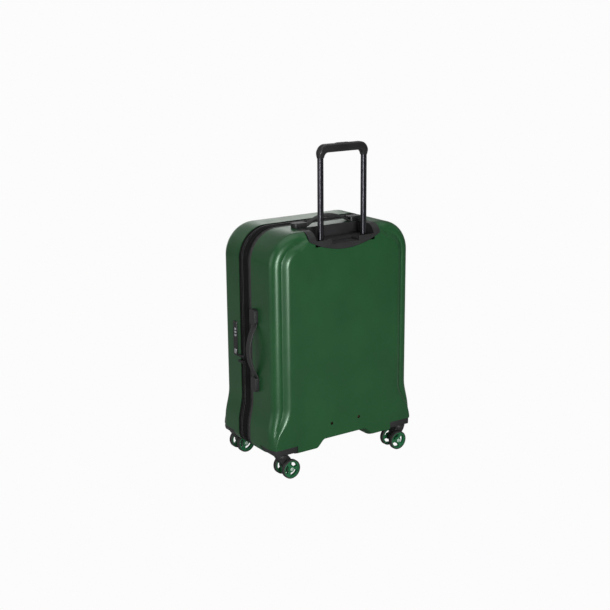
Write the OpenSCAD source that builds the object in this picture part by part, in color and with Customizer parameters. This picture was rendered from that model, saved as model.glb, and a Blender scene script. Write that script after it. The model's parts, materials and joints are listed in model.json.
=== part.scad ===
// Hard shell suitcase on four twin-wheel casters, with a telescopic trolley handle.
// Millimetres. Z is up and the floor is Z = 0. The trolley side faces +Y, the lid faces -Y,
// and the side with the carry handle and the lock faces +X.

/* [Body] */
// Width of the shells between their straight sides
body_w = 455; // [380:1:560]
// Height of the top face above the floor
body_top = 672; // [600:1:800]
// Height of the lowest shell edge above the floor
body_low = 57; // [56.5:0.5:64]
// Depth of the back shell from its rim to its panel
back_depth = 117.5; // [95:0.5:160]
// Depth of the front shell from its rim to its panel
front_depth = 94.5; // [75:0.5:150]
// Wall of the moulded shells
shell_wall = 2; // [1.6:0.1:3]
// Radius of the upper corners
corner_r = 87; // [60:1:110]
// Radius of the lower corners
low_corner_r = 34; // [28:1:45]
// How far the hips stand out beyond the straight sides
hip_flare = 12; // [4:0.5:16]
// Height at which the hips begin
hip_top = 200; // [170:1:240]
// Height at which the hips are widest
hip_mid = 122; // [110:1:140]

/* [Face relief] */
// Radius of the rounded edge between sides and face
edge_r = 22; // [14:0.5:26]
// Distance of the groove from the outline
groove_inset = 28; // [26:0.5:34]
// Depth of the groove below the ledge
groove_dip = 1.5; // [0.5:0.1:3]
// Height of the raised panel above the ledge
panel_raise = 9.5; // [5:0.5:12]
// Distance of the flat panel from the outline
panel_inset = 49; // [44:0.5:60]
// Share of the relief's width that is left at the bottom edge
low_share = 0.2; // [0.15:0.01:0.25]
// Share of the relief's width that is left at the well's collar
well_share = 0.62; // [0.5:0.01:0.8]
// Length over which the groove fades out next to the well's collar
groove_fade = 35; // [20:1:50]
// Half width of the arch in the bottom edge
arch_half = 68; // [50:1:80]
// Rise of the arch above the lowest edge
arch_rise = 22; // [12:0.5:26]
// Width of the step at each end of the arch
arch_step = 30; // [26:1:40]

/* [Zip band] */
// Width of the rubber edge trim
trim_w = 13.8; // [8:0.1:18]
// Width of the expansion band, up to the main zip
band_w = 35.8; // [25:0.1:50]
// Width of the lid's zip tape
lid_tape_w = 12.8; // [8:0.1:18]
// Thickness of tapes and trim
tape_t = 2; // [1.2:0.1:3]
// Inset of the tapes from the outline
tape_inset = 2; // [1:0.1:4]

/* [Lining] */
// Inset of the lining from the outline
lining_inset = 12; // [11:0.5:20]
// Thickness of the lining with its backing
lining_t = 1.5; // [1:0.1:3]
// Height of the lining's lower wall above the floor
lining_low = 90; // [88:1:110]
// Width of the packing straps
strap_w = 25; // [15:1:40]

/* [Trolley] */
// Distance between the tube centres
tube_span = 141.4; // [110:0.2:170]
// Distance of the tube centres in front of the panel's outside
tube_back = 15.5; // [14.8:0.1:20]
// Width of the inner tubes
tube_w = 16; // [12:0.5:18]
// Depth of the inner tubes
tube_d = 12.5; // [10:0.5:14]
// Wall of all tubes
tube_wall = 1.2; // [0.8:0.1:1.4]
// Gap between one tube and the next
tube_gap = 0.3; // [0.2:0.05:0.4]
// Length of the inner tubes that is drawn out at rest
drawn_out = 223; // [120:1:240]
// Length of inner tube that stays in the middle tube at rest
inner_overlap = 60; // [40:1:80]
// Length of the middle tubes
mid_length = 300; // [285:1:340]
// Height of the outer tubes' lower end
tube_foot = 118; // [110:1:140]
// Distance between the two rivets in the back panel
rivet_span = 92.8; // [70:0.2:100]
// Height of the rivets
rivet_z = 128; // [124:1:136]

/* [Grip] */
// Reach of the trolley grip beyond the tube centres
grip_side = 10.8; // [9.5:0.1:16]
// Overall height of the trolley grip
grip_h = 36; // [32:1:44]
// Height of the bar
grip_bar = 22; // [18:1:26]
// Depth of the grip
grip_d = 22; // [18:0.5:24]
// Outer corner radius of the grip
grip_r = 30; // [20:1:32]
// Length of the release button
button_l = 40; // [25:1:60]

/* [Handle well] */
// Distance from the tube centres to the side walls of the well's pocket
well_side = 24.3; // [18:0.1:34]
// Depth of the pocket's floor below the top face
well_deep = 32; // [28:1:36]
// Depth of the lip at the pocket's back below the top face
lip_deep = 25; // [20:1:26]
// Depth of the scoop in the floor and lip, below the top face
scoop_deep = 38; // [37:1:41]
// Distance of the pocket's front wall from the panel's outside
well_front = 70; // [50:1:72]
// Width of the collar beside the pocket
collar_side = 22; // [16:1:30]
// Drop of the collar's lower edge at the middle
collar_drop = 54; // [45:1:60]
// Thickness of the well's walls and collar
well_wall = 3; // [2:0.5:4]
// Half width of the finger scoop in the floor and lip
notch_half = 45; // [30:1:55]

/* [Carry handles] */
// Distance between the mounts of the top handle
top_mount_span = 184; // [160:1:200]
// Distance between the mounts of the side handle
side_mount_span = 190; // [160:1:210]
// Height of the side handle's middle
side_handle_z = 348; // [320:1:380]
// Distance of the top handle in front of the panel's outside
top_handle_back = 87.5; // [86:0.5:95]
// Distance of the side handle from the back shell's rim
side_handle_in = 20; // [16:0.5:60]
// Length of one mount
mount_l = 42; // [32:1:48]
// Width of the mounts
mount_w = 25; // [22:0.5:28]
// Height of the mounts
mount_h = 12; // [11:0.5:16]
// Width of the strap
handle_w = 21; // [16:0.5:24]
// Thickness of the strap at its middle
handle_t = 8; // [5:0.5:10]
// Height of the strap's crest above the shell
handle_crest = 28; // [24:1:36]
// Thickness of the strap's end tongues
tongue_t = 3; // [2:0.5:4]
// Travel of the strap in its mounts
handle_lift = 5; // [2:0.5:6]

/* [Lock] */
// Height of the lock's lower end above the floor
lock_low = 308; // [290:1:330]
// Length of the lock
lock_l = 98; // [90:1:120]
// Width of the lock
lock_w = 17.5; // [15:0.5:20]
// Distance of the lock from the front shell's rim
lock_in = 15; // [14.5:0.5:25]
// How far the lock stands out of the shell
lock_proud = 2.5; // [1.5:0.1:4]
// Radius of the number dials
dial_r = 6.8; // [5.5:0.1:7.2]
// Thickness of a dial
dial_t = 6; // [4:0.1:7]
// Distance from dial to dial
dial_pitch = 9; // [8:0.1:11]

/* [Zip sliders] */
// Height of the lower slider
slider_z = 296; // [280:1:310]
// Distance between the two docked sliders
slider_pitch = 16; // [14:0.5:24]
// Length of a slider's pull tab
pull_l = 19; // [14:0.5:24]

/* [Casters] */
// Distance of the swivel axes from the outside of the hips
swivel_in = 36.5; // [32:0.5:45]
// Distance of the back swivel axes from the panel's outside
swivel_back = 19; // [18:0.5:28]
// Radius of a wheel over its tyre
wheel_r = 27.2; // [22:0.1:27.5]
// Width of one wheel
wheel_t = 11; // [8:0.5:13]
// Distance of a wheel's middle from the caster's middle
wheel_off = 21; // [19.5:0.5:24]
// Thickness of the tyre
tyre_t = 3.4; // [2.5:0.1:5]
// Distance of the axle behind the swivel axis
trail = 18; // [14:0.5:19]
// Radius of the axles
axle_r = 2.5; // [2:0.1:3]
// Radius of the swivel pins
pin_r = 4; // [3:0.1:5]
// Running clearance of a shaft in its hole
run_gap = 0.06; // [0.03:0.01:0.1]
// Radius of the disc on top of each fork
fork_r = 19; // [16:0.5:21]
// Thickness of the fork's arm
fork_t = 26; // [22:0.5:27]
// Height of the wheel housings' underside
housing_low = 68; // [66:0.5:72]
// Height of the wheel housings' top
housing_top = 86; // [82:0.5:90]
// Length of a housing along the width
housing_x = 80; // [60:1:90]
// Length of a housing along the depth
housing_y = 68; // [60:1:75]

/* [Hidden] */
$fn = 48;

// Clearances and small shared sizes
gap = 0.4;            // between pieces that don't touch
laid = 0.05;          // between a piece and the face it lies on
seam = 0.2;           // between a cover and the edge it meets
cut = 1;              // how far a cut runs past a face
slide_gap = 0.3;      // round a sliding button, dial or tongue

// Places along the depth, all from the middle between the two panels
depth_all = back_depth + trim_w + band_w + lid_tape_w + front_depth + 2 * seam;
panel_y = depth_all / 2;
back_rim = panel_y - back_depth;
trim_front = back_rim - trim_w;
zip_y = trim_front - band_w - seam;
front_rim = zip_y - lid_tape_w - seam;

// Places of the trolley
tube_y = panel_y - tube_back;
grip_w = tube_span + 2 * grip_side;
well_half = tube_span / 2 + well_side;
collar_half = well_half + collar_side;
well_floor = body_top - well_deep;
well_r = panel_inset * well_share;
tube_top = well_floor - well_wall;
grip_low = well_floor + drawn_out;
mid_w = tube_w + 2 * (tube_wall + tube_gap);
mid_d = tube_d + 2 * (tube_wall + tube_gap);
outer_w = mid_w + 2 * (tube_wall + tube_gap);
outer_d = mid_d + 2 * (tube_wall + tube_gap);
rod_r = 1.6;
button_w = 12;
button_r = 5;
rivet_r = 3;
rivet_l = 12;
rivet_head_r = 4.75;
rivet_head_h = 1.3;

// Places of the casters
swivel_x = body_w / 2 + hip_flare - swivel_in;
swivel_y = panel_y - swivel_back;
axle_z = wheel_r;
corner_names = ["back_left", "back_right", "front_left", "front_right"];
corner_x = [-1, 1, -1, 1];
corner_y = [1, 1, -1, -1];

green = [0.13, 0.33, 0.17];
black = [0.10, 0.10, 0.11];
dark_metal = [0.22, 0.22, 0.24];
steel = [0.62, 0.63, 0.65];
cloth = [0.24, 0.24, 0.26];

// ---- outline of the case, seen along the depth -------------------------------------------

function smooth(t) = t <= 0 ? 0 : t >= 1 ? 1 : t * t * (3 - 2 * t);
function flip(pts) = [for (i = [len(pts) - 1 : -1 : 0]) [-pts[i][0], pts[i][1]]];
function unit(v) = v / norm(v);
function left_of(v) = [-v[1], v[0]];

// Half width of the case at a height
function side_x(z) = body_w / 2 + hip_flare * smooth((hip_top - z) / (hip_top - hip_mid));

// Right half of the outline, from the middle of the arch up to the top
hip_x = body_w / 2 + hip_flare;
half_outline = concat(
    [[arch_half / 2, body_low + arch_rise]],
    [for (t = [0 : 0.2 : 1]) [arch_half + t * arch_step, body_low + arch_rise * (1 - smooth(t))]],
    [[hip_x - low_corner_r - 30, body_low]],
    [for (a = [-90 : 15 : 0]) [hip_x - low_corner_r + low_corner_r * cos(a),
                                body_low + low_corner_r + low_corner_r * sin(a)]],
    [for (z = [hip_mid : 13 : hip_top + 0.1]) [side_x(z), z]],
    [for (z = [hip_top + 40 : 80 : body_top - corner_r - 30]) [body_w / 2, z]],
    [for (a = [0 : 7.5 : 90]) [body_w / 2 - corner_r + corner_r * cos(a),
                                body_top - corner_r + corner_r * sin(a)]],
    [for (t = [0.2 : 0.2 : 0.8]) [(body_w / 2 - corner_r) * (1 - t), body_top]]);
outline = concat(half_outline, flip(half_outline));

// One point of a closed path moved inwards by d, along the bisector of its two edges
function inset_point(pts, i, d) =
    let (n = len(pts),
         e1 = unit(pts[i] - pts[(i + n - 1) % n]),
         e2 = unit(pts[(i + 1) % n] - pts[i]),
         out = unit(left_of(e1 + e2)))
    pts[i] + out * d / (out * left_of(e1));
function inset_path(pts, d) = [for (i = [0 : len(pts) - 1]) inset_point(pts, i, d)];

// Share of the face relief's width at a height
function relief(z) = low_share + (1 - low_share) * smooth((z - housing_top) / (hip_top - housing_top));

// Share of the groove that is left near the middle of the top edge
function groove(p, has_well) =
    !has_well || p[1] < body_top - corner_r ? 1 : smooth((abs(p[0]) - collar_half) / groove_fade);

// Section of the face from the side wall to the flat panel: [inset, depth below the panel]
face_section = concat(
    [for (a = [0 : 18 : 90]) [edge_r * (1 - cos(a)), panel_raise + edge_r * (1 - sin(a))]],
    [[groove_inset, panel_raise + groove_dip]],
    [for (t = [0.2 : 0.2 : 1]) [groove_inset + t * (panel_inset - groove_inset),
                                (panel_raise + groove_dip) * (1 - smooth(t))]]);
face_drop = panel_raise + edge_r;
steps = len(face_section);

// One ring of the lofted body, thick is the distance inside the outer surface
function ring(k, panel, thick, has_well) =
    [for (i = [0 : len(outline) - 1])
        let (edge = groove(outline[i], has_well),
             g = min(relief(outline[i][1]), edge),
             s = relief(outline[i][1]) * (well_share + (1 - well_share) * edge),
             q = face_section[k],
             plain = face_drop * (1 - sin(90 * k / (steps - 1))),
             p = inset_point(outline, i, thick + q[0] * s))
        [p[0], panel - thick - (plain + (q[1] - plain) * g), p[1]]];

function rim_ring(rim, thick) =
    [for (i = [0 : len(outline) - 1])
        let (p = inset_point(outline, i, thick)) [p[0], rim, p[1]]];

// Closed body lofted from the rim to the panel
module lofted(rim, panel, thick, has_well) {
    n = len(outline);
    points = concat(rim_ring(rim, thick), [for (k = [0 : steps - 1]) each ring(k, panel, thick, has_well)]);
    walls = [for (r = [0 : steps - 1], i = [0 : n - 1])
        let (j = (i + 1) % n)
        each [[r * n + i, r * n + j, r * n + n + j], [r * n + i, r * n + n + j, r * n + n + i]]];
    polyhedron(points = points, faces = concat(
        [[for (i = [n - 1 : -1 : 0]) i]],
        walls,
        [[for (i = [0 : n - 1]) steps * n + i]]), convexity = 10);
}

// Shape drawn in X and Z, given thickness from y1 to y2
module across(y1, y2) {
    translate([0, y2, 0]) rotate([90, 0, 0]) linear_extrude(y2 - y1) children();
}

module outline_ring(y1, y2, inset, thick) {
    across(y1, y2) difference() {
        polygon(inset_path(outline, inset));
        polygon(inset_path(outline, inset + thick));
    }
}

module rounded(w, h, r) {
    square([w - 2 * r, h], center = true);
    square([w, h - 2 * r], center = true);
    for (x = [-1, 1], y = [-1, 1]) translate([x * (w / 2 - r), y * (h / 2 - r)]) circle(r);
}

// ---- shells --------------------------------------------------------------------------------

screw_r = 2.2;
screw_slot = 3;
corner_round = 6;
housing_in_x = hip_x - housing_x;

// Block with rounded edges that fills a lower corner past the case's sides, smaller by t
module corner_block(sx, t, z1, z2) {
    past = 20;
    translate([sx * (housing_in_x + t + (housing_x + past - t) / 2),
               panel_y - housing_y + t + (housing_y + past - t) / 2, z1]) linear_extrude(z2 - z1)
        rounded(housing_x + past - t, housing_y + past - t, corner_round - t);
}

// Opening for a wheel housing in a lower corner, and the slots for its screws
module corner_cut(sx) {
    corner_block(sx, 0, 0, housing_top);
    for (f = [0.05, 0.3, 0.55]) hull() for (d = [0, screw_slot])
        translate([sx * (housing_in_x - 8), panel_y - housing_y + f * housing_y + d, body_low - cut])
            cylinder(r = screw_r, h = shell_wall + 2 * cut, $fn = 16);
}

module shell(rim, panel, has_well) {
    difference() {
        lofted(rim, panel, 0, has_well);
        difference() {
            lofted(rim - cut, panel, shell_wall, has_well);
            // the shell closes over the wheel housings
            for (sx = [-1, 1])
                translate([sx * (hip_x - housing_x / 2), panel_y - housing_y / 2, housing_top / 2])
                cube([housing_x + 2 * shell_wall, housing_y + 2 * shell_wall, housing_top + 2 * shell_wall],
                     center = true);
        }
        for (sx = [-1, 1]) corner_cut(sx);
    }
}

module back_shell() {
    color(green) difference() {
        shell(back_rim, panel_y, true);
        // opening for the well's tub and, in the face, for its collar
        translate([0, panel_y - well_front / 2 + 10, body_top])
            cube([2 * (well_half + well_wall + gap), well_front + 20 + 2 * (well_wall + gap),
                  2 * (scoop_deep + well_wall + gap)], center = true);
        across(panel_y - well_r, panel_y + cut) collar_shape(seam);
        translate([0, panel_y - well_r + cut, body_top]) rotate([90, 0, 0])
            linear_extrude(well_front - well_r + well_wall + gap + cut)
                square([2 * (collar_half + 2 * seam), 2 * well_wall + 2 * seam], center = true);
        for (sx = [-1, 1]) translate([sx * rivet_span / 2, panel_y + cut, rivet_z]) rotate([90, 0, 0])
            cylinder(r = rivet_r + slide_gap, h = 20, $fn = 24);
    }
}

module front_shell() {
    color(green) difference() {
        mirror([0, 1, 0]) shell(-front_rim, panel_y, false);
        translate([body_w / 2 - 10, front_rim - lock_in - lock_w - seam, lock_low - seam])
            cube([20, lock_w + 2 * seam, lock_l + 2 * seam]);
    }
}

// ---- band between the shells ---------------------------------------------------------------

module back_edge_trim() {
    color(black) outline_ring(trim_front, back_rim - laid, 0.5, tape_inset + tape_t);
}

module expansion_gusset() {
    color(cloth) outline_ring(trim_front - 10, trim_front + 2, tape_inset + tape_t + 1.5, 2.5);
}

module expansion_band() {
    color(black) outline_ring(zip_y + seam, trim_front - seam, tape_inset, tape_t);
}

module lid_zip_tape() {
    color(black) outline_ring(front_rim + laid, zip_y - seam, tape_inset, tape_t);
}

// ---- lining and straps ---------------------------------------------------------------------

lining_w = body_w - 2 * lining_inset;
lining_r = corner_r - lining_inset;
lining_back = tube_y - outer_d / 2 - 2.5;
lining_front = panel_raise + groove_dip + shell_wall + 3;
tub_low = body_top - scoop_deep - well_wall;
lining_top = tub_low - 2;

// Cavity-shaped block from y1 to y2, with its top at a height, made smaller by t all round
module tray(y1, y2, top, t) {
    h = top - lining_low;
    across(y1, y2) translate([0, lining_low + h / 2])
        rounded(lining_w - 2 * t, h - 2 * t, lining_r - t);
}

module back_lining() {
    color(cloth) difference() {
        tray(back_rim + 1, lining_back, lining_top, 0);
        tray(back_rim - cut, lining_back - lining_t, lining_top, lining_t);
    }
}

module front_lining() {
    y_end = -panel_y + lining_front;
    color(cloth) difference() {
        tray(y_end, front_rim - 1, body_top - lining_inset, 0);
        tray(y_end + lining_t, front_rim + cut, body_top - lining_inset, lining_t);
    }
}

// Two crossed straps that lie on the back lining, with a buckle where they meet
module packing_straps() {
    strap_t = 1.5;
    y = lining_back - lining_t - 0.5;
    mid_z = (lining_low + lining_top) / 2;
    reach = min(lining_w, lining_top - lining_low) / 2 - 40;
    color(black) {
        for (s = [-1, 1])
            translate([0, y - strap_t * (s + 1) / 2 - strap_t / 2, mid_z]) rotate([0, s * 45, 0])
            cube([2.5 * reach, strap_t, strap_w], center = true);
        translate([0, y - 4 * strap_t, mid_z]) cube([2 * strap_w, 2 * strap_t, 1.6 * strap_w], center = true);
    }
}

// Flat pocket that lies in front of the lid's lining
module lid_pocket() {
    y = -panel_y + lining_front + lining_t + 0.5;
    h = 0.45 * (body_top - lining_low);
    color(cloth) across(y, y + 2) translate([0, lining_low + 30 + h / 2]) rounded(lining_w - 120, h, 20);
}

// ---- trolley -------------------------------------------------------------------------------

module tube_pair(w, d, z1, z2) {
    for (sx = [-1, 1]) translate([sx * tube_span / 2, tube_y, z1]) linear_extrude(z2 - z1) difference() {
        rounded(w, d, d / 2.6);
        rounded(w - 2 * tube_wall, d - 2 * tube_wall, d / 2.6 - tube_wall);
    }
}

module rail_outer_tubes() {
    color(dark_metal) tube_pair(outer_w, outer_d, tube_foot, tube_top);
}

module rail_mid_tubes() {
    color(dark_metal) tube_pair(mid_w, mid_d, tube_top - mid_length, tube_top);
}

module rail_inner_tubes() {
    color(dark_metal) tube_pair(tube_w, tube_d, well_floor - inner_overlap, grip_low);
}

module release_rods() {
    color(steel) for (sx = [-1, 1]) translate([sx * tube_span / 2, tube_y, well_floor - inner_overlap + 4])
        cylinder(r = rod_r, h = inner_overlap + drawn_out - 4 + grip_h - grip_bar);
}

// Block under the outer tubes, with a plate that is riveted to the panel
module rail_foot() {
    plate_w = tube_span - outer_w - 2 * gap;
    plate_t = 8;
    foot_h = 16;
    inside = panel_y - shell_wall - seam;
    color(black) difference() {
        union() {
            translate([-(tube_span + outer_w) / 2, tube_y - outer_d / 2, tube_foot - foot_h])
                cube([tube_span + outer_w, outer_d, foot_h]);
            translate([-plate_w / 2, inside - plate_t, tube_foot - foot_h])
                cube([plate_w, plate_t, rivet_z + 12 - tube_foot + foot_h]);
        }
        for (sx = [-1, 1]) translate([sx * rivet_span / 2, inside + cut, rivet_z]) rotate([90, 0, 0])
            cylinder(r = rivet_r, h = rivet_l);
    }
}

module rail_rivets() {
    color([0.24, 0.19, 0.13]) for (sx = [-1, 1]) translate([sx * rivet_span / 2, panel_y, rivet_z]) {
        rotate([90, 0, 0]) cylinder(r = rivet_r, h = rivet_l);
        rotate([-90, 0, 0]) cylinder(r1 = rivet_head_r, r2 = rivet_r + 0.4, h = rivet_head_h);
    }
}

// Outline of the grip in X and Z, its lower ends at Z = 0
module grip_outline() {
    difference() {
        translate([0, grip_h / 2]) union() {
            square([grip_w - 2 * grip_r, grip_h], center = true);
            translate([0, -grip_r / 2]) square([grip_w, grip_h - grip_r], center = true);
            for (sx = [-1, 1]) translate([sx * (grip_w / 2 - grip_r), grip_h / 2 - grip_r]) circle(grip_r);
        }
        translate([-grip_w, -grip_h]) square([2 * grip_w, grip_h]);
        // the hand's opening, with round corners
        inner = tube_span / 2 - tube_w / 2 - 3;
        high = grip_h - grip_bar;
        r = min(8, high - 1);
        translate([-inner, -cut]) square([2 * inner, high - r + cut]);
        translate([r - inner, -cut]) square([2 * (inner - r), high + cut]);
        for (sx = [-1, 1]) translate([sx * (inner - r), high - r]) circle(r);
    }
}

module grip() {
    button_deep = 8;
    color(black) translate([0, 0, grip_low]) difference() {
        across(tube_y - grip_d / 2, tube_y + grip_d / 2) grip_outline();
        translate([0, tube_y, grip_h - button_deep]) linear_extrude(button_deep + cut)
            rounded(button_l + 2 * slide_gap, button_w + 2 * slide_gap, button_r);
        for (sx = [-1, 1]) translate([sx * tube_span / 2, tube_y, -cut])
            cylinder(r = rod_r + slide_gap, h = grip_h - grip_bar + cut + 1);
    }
}

module grip_button() {
    color(black) translate([0, tube_y, grip_low + grip_h - 4]) linear_extrude(5)
        rounded(button_l, button_w, button_r - slide_gap);
}

// ---- handle well ---------------------------------------------------------------------------

side_drop = 24;       // depth of the collar at its two ends

// Collar on the back face: wide at the top, with a lower edge that hangs in a shallow curve
module collar_shape(grow) {
    hang = [for (t = [-1 : 0.125 : 1])
        [t * (collar_half + grow), body_top - collar_drop - grow + (collar_drop - side_drop) * t * t]];
    polygon(concat(hang, [[collar_half + grow, body_top + cut], [-collar_half - grow, body_top + cut]]));
}

module handle_well() {
    top = body_top;
    y0 = panel_y - well_front;
    lip_t = tube_back - grip_d / 2;
    color(black) difference() {
        intersection() {
            union() {
                translate([-well_half - well_wall, y0 - well_wall, tub_low])
                    cube([2 * (well_half + well_wall), well_front + well_wall, top - tub_low]);
                across(panel_y - shell_wall, panel_y) collar_shape(0);
                translate([-collar_half, y0 - well_wall, top - well_wall])
                    cube([2 * collar_half, well_front - well_r + well_wall, well_wall]);
                for (s = [-1, 1])
                    translate([s * (collar_half + well_half) / 2, panel_y - well_r / 2 - 1,
                               top - side_drop / 2])
                    cube([collar_half - well_half, well_r + 4, side_drop], center = true);
            }
            // rounded upper edge, seen along the width
            translate([-collar_half, 0, 0]) rotate([90, 0, 90]) linear_extrude(2 * collar_half) union() {
                translate([0, body_low]) square([panel_y - well_r, top - body_low]);
                translate([0, body_low]) square([panel_y, top - well_r - body_low]);
                translate([panel_y - well_r, top - well_r]) circle(well_r, $fn = 96);
            }
        }
        // pocket, open over the lip, and the finger scoop in its floor and lip
        translate([-well_half, y0, well_floor])
            cube([2 * well_half, well_front - lip_t + gap, well_deep + cut]);
        translate([-well_half, y0, top - lip_deep]) cube([2 * well_half, 2 * well_front, lip_deep + cut]);
        translate([-notch_half, y0 + well_front / 2, top - scoop_deep])
            cube([2 * notch_half, 2 * well_front, scoop_deep + cut]);
        // the floor is thin at its ends, where the outer tubes stand under it
        for (sx = [-1, 1])
            translate([sx * (notch_half + well_wall + well_half) / 2, panel_y - lip_t - well_front / 2, tub_low])
                cube([well_half - notch_half - well_wall, well_front, 2 * (tube_top - tub_low)],
                     center = true);
        // the middle tubes pass through the floor
        for (sx = [-1, 1])
            translate([sx * tube_span / 2, tube_y, tube_top - cut]) linear_extrude(well_wall + 2 * cut)
            rounded(mid_w + 2 * slide_gap, mid_d + 2 * slide_gap, mid_d / 2.6);
    }
}

// ---- carry handles, drawn on a face at Z = 0 with their length along X ----------------------

mount_r = 7;
tongue_low = 1.5;     // underside of the strap's tongues

module carry_mounts(span) {
    slot_l = mount_l - 8;
    color(black) for (sx = [-1, 1]) difference() {
        translate([sx * span / 2, 0, laid]) linear_extrude(mount_h) rounded(mount_l, mount_w, mount_r);
        // slot for the strap's tongue, open towards the middle
        translate([sx * (span / 2 - mount_l / 2 - cut) - (sx < 0 ? slot_l : 0), -handle_w / 2 - slide_gap,
                   tongue_low - slide_gap])
            cube([slot_l, handle_w + 2 * slide_gap, tongue_t + handle_lift + 2 * slide_gap]);
    }
}

module carry_strap(span) {
    reach = span / 2 - mount_l / 2 - 4;
    tip = span / 2 + mount_l / 2 - 11;
    low = tongue_low;
    // underside and top rise from the tongues to the crest
    under = [for (t = [-1 : 0.1 : 1])
        [t * reach, low + (handle_crest - handle_t - low) * pow(cos(90 * t), 0.8)]];
    over = [for (t = [1 : -0.1 : -1])
        [t * reach, low + tongue_t + (handle_crest - tongue_t - low) * pow(cos(90 * t), 0.8)]];
    color(black) across(-handle_w / 2, handle_w / 2)
        polygon(concat([[-tip, low]], under, [[tip, low], [tip, low + tongue_t]], over,
                       [[-tip, low + tongue_t]]));
}

module on_top() translate([0, panel_y - top_handle_back, body_top]) children();
module on_side() translate([body_w / 2, back_rim + side_handle_in, side_handle_z])
    rotate([0, 90, 0]) children();

module top_handle_mounts() on_top() carry_mounts(top_mount_span);
module top_handle() on_top() carry_strap(top_mount_span);
module side_handle_mounts() on_side() carry_mounts(side_mount_span);
module side_handle() on_side() carry_strap(side_mount_span);

// ---- combination lock ----------------------------------------------------------------------

lock_y = front_rim - lock_in - lock_w / 2;
lock_face = body_w / 2 + lock_proud;
dial_x = lock_face + 1.5 - dial_r;
dial_z = lock_low + 67;
spindle_r = 1.4;
release_z = lock_low + 12;
release_w = 10;
release_l = 14;
release_t = 3.8;
key_r = 4.5;          // raised ring at the lock's upper end

module lock_body() {
    back_x = dial_x - dial_r - 0.5;
    color(black) difference() {
        union() {
            difference() {
                translate([back_x, lock_y - lock_w / 2, lock_low]) cube([lock_face - back_x, lock_w, lock_l]);
                for (i = [-1 : 1]) translate([dial_x, lock_y, dial_z + i * dial_pitch])
                    cube([2 * dial_r + 4, 2 * dial_r + 0.8, dial_t + 2 * slide_gap], center = true);
            }
            translate([dial_x, lock_y, dial_z - 1.5 * dial_pitch - 1])
                cylinder(r = spindle_r, h = 3 * dial_pitch + 2);
            translate([lock_face - 1, lock_y, lock_low + lock_l - 2 * key_r]) rotate([0, 90, 0])
                cylinder(r = key_r, h = 1.8);
        }
        translate([lock_face - release_t - 1.2, lock_y - release_w / 2 - slide_gap,
                   release_z - release_l / 2 - slide_gap])
            cube([release_t + 2.2, release_w + 2 * slide_gap, release_l + 2 * slide_gap]);
    }
}

module lock_dial(i) {
    color(steel) translate([dial_x, lock_y, dial_z + (2 - i) * dial_pitch - dial_t / 2]) difference() {
        cylinder(r = dial_r, h = dial_t);
        translate([0, 0, -cut]) cylinder(r = spindle_r + run_gap, h = dial_t + 2 * cut);
    }
}

module lock_release() {
    color(steel) translate([lock_face - release_t + 1, lock_y - release_w / 2, release_z - release_l / 2])
        cube([release_t, release_w, release_l]);
}

// ---- zip sliders ---------------------------------------------------------------------------

module zip_slider(z) {
    x0 = body_w / 2 - tape_inset + gap;
    runner = [3, 9, 10];
    pull = [2, pull_l + 4, 7];
    color(black) {
        translate([x0, zip_y - runner[1] / 2, z - runner[2] / 2]) cube(runner);
        difference() {
            translate([x0 + runner[0], zip_y - 2 - pull_l, z - pull[2] / 2]) cube(pull);
            translate([x0 + 2, zip_y - pull_l + 2, z]) rotate([0, 90, 0]) cylinder(r = 1.8, h = 4);
        }
    }
}

// ---- casters -------------------------------------------------------------------------------

// Block that closes a lower corner of a shell and holds a swivel pin
module wheel_housing(sx, sy) {
    color(black) mirror([sx < 0 ? 1 : 0, 0, 0]) mirror([0, sy < 0 ? 1 : 0, 0]) difference() {
        intersection() {
            corner_block(1, seam, housing_low, housing_top - seam);
            across(0, panel_y - 2) polygon(inset_path(outline, 1.5));
            translate([swivel_x - 30, swivel_y - 42, housing_low]) cylinder(r = 80, h = 30, $fn = 96);
        }
        translate([swivel_x, swivel_y, 0]) cylinder(r = pin_r, h = housing_top - 4);
    }
}

module swivel_pins(sy) {
    color(steel) for (sx = [-1, 1]) translate([sx * swivel_x, sy * swivel_y, 0])
        translate([0, 0, housing_low - 16]) cylinder(r = pin_r, h = housing_top - 4 - housing_low + 16);
}

// A caster's pieces stand on its swivel axis, with the wheels trailing towards the middle
module at_caster(c) translate([corner_x[c] * swivel_x, corner_y[c] * swivel_y, 0])
    mirror([corner_x[c] < 0 ? 1 : 0, 0, 0]) children();

module fork(c) {
    top = housing_low - 0.5;
    disc_t = 7;
    boss_r = axle_r + 6.5;
    color(black) at_caster(c) difference() {
        union() {
            translate([0, 0, top - disc_t]) cylinder(r = fork_r, h = disc_t);
            // arm that leans back to the axle
            across(-fork_t / 2, fork_t / 2) {
                polygon([[-fork_r + 4, top - 3], [fork_r - 4, top - 3], [fork_r - 8, top - 14],
                         [-trail + boss_r * 0.94, axle_z - boss_r * 0.34],
                         [-trail - boss_r, axle_z + 1], [-fork_r - 4, top - 18]]);
                translate([-trail, axle_z]) circle(boss_r);
            }
        }
        translate([0, 0, housing_low - 17]) cylinder(r = pin_r + run_gap, h = 30);
        translate([-trail, 0, axle_z]) rotate([90, 0, 0]) cylinder(r = axle_r, h = 2 * fork_t, center = true);
    }
}

module axle(c) {
    color(steel) at_caster(c) translate([-trail, 0, axle_z]) rotate([90, 0, 0])
        cylinder(r = axle_r, h = 2 * (wheel_off + wheel_t / 2 - 1), center = true);
}

// A wheel lies on the XY plane with its outer face up, and at_wheel puts it on the axle
module at_wheel(c, out) at_caster(c) translate([-trail, 0, axle_z]) rotate([-90 * corner_y[c] * out, 0, 0])
    translate([0, 0, wheel_off]) children();

disc_r = wheel_r - tyre_t;
tyre_r = 1.5;         // rounding of the tyre's edges

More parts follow.
